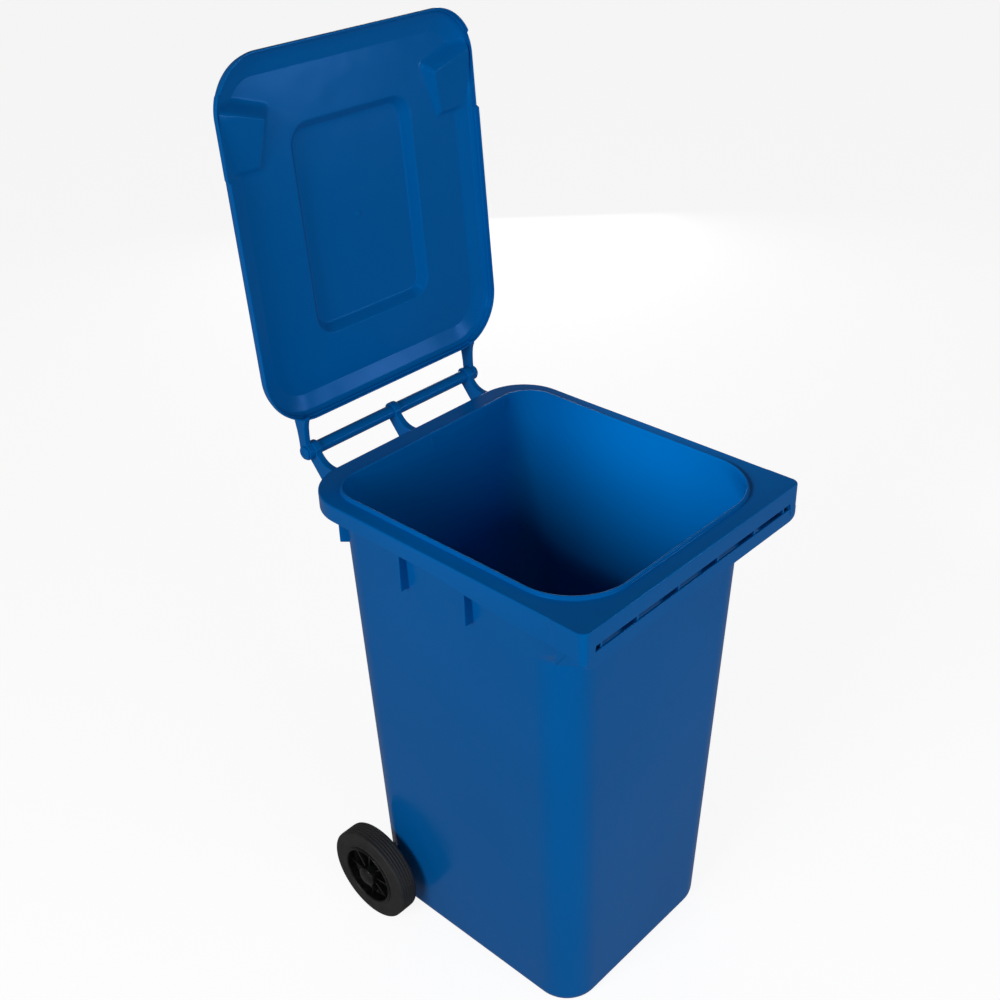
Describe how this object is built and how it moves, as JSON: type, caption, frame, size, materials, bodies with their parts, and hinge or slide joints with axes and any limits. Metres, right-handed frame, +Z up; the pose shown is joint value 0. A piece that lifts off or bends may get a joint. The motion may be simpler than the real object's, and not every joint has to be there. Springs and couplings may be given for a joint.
{
  "type": "wheelie bin",
  "caption": "Two-wheeled upright refuse bin with a tapered one-piece body, comb rim, rear handle bar and a hinged lid held open.",
  "frame": {"origin": "centre of the base on the ground, where the two cross ribs under the floor meet", "axes": "+Z up, +Y to the back, where the hinge, handle and wheels are, +X across to the right-hand wheel"},
  "size_m": [0.607, 0.7797, 1.7003],
  "materials": {
    "body_plastic": "moulded polyethylene, satin",
    "lid_plastic": "moulded polyethylene, satin",
    "tyre_rubber": "solid black rubber",
    "wheel_plastic": "black moulded polyethylene",
    "steel": "bright zinc plated"
  },
  "bodies": {
    "bin": {"body_shell": "body_plastic", "handle_bar": "body_plastic", "axle": "steel", "hinge_pin_left": "lid_plastic", "hinge_pin_right": "lid_plastic", "axle_spacer_left": "wheel_plastic", "axle_spacer_right": "wheel_plastic", "axle_washer_left": "steel", "axle_washer_right": "steel", "push_nut_left": "steel", "push_nut_right": "steel"},
    "lid": {"lid": "lid_plastic"},
    "wheel_left": {"tyre_left": "tyre_rubber", "wheel_rim_left": "wheel_plastic", "hub_cap_left": "wheel_plastic"},
    "wheel_right": {"tyre_right": "tyre_rubber", "wheel_rim_right": "wheel_plastic", "hub_cap_right": "wheel_plastic"}
  },
  "joints": [
    {"name": "lid_hinge", "type": "hinge", "parent": "bin", "child": "lid", "pos_m": [0, 0.365, 1.0075], "axis": [-1, 0, 0], "range_deg": [-94, 176]},
    {"name": "wheel_left_spin", "type": "hinge", "parent": "bin", "child": "wheel_left", "pos_m": [-0.271, 0.2205, 0.1], "axis": [1, 0, 0], "continuous": true},
    {"name": "wheel_right_spin", "type": "hinge", "parent": "bin", "child": "wheel_right", "pos_m": [0.271, 0.2205, 0.1], "axis": [1, 0, 0], "continuous": true}
  ]
}
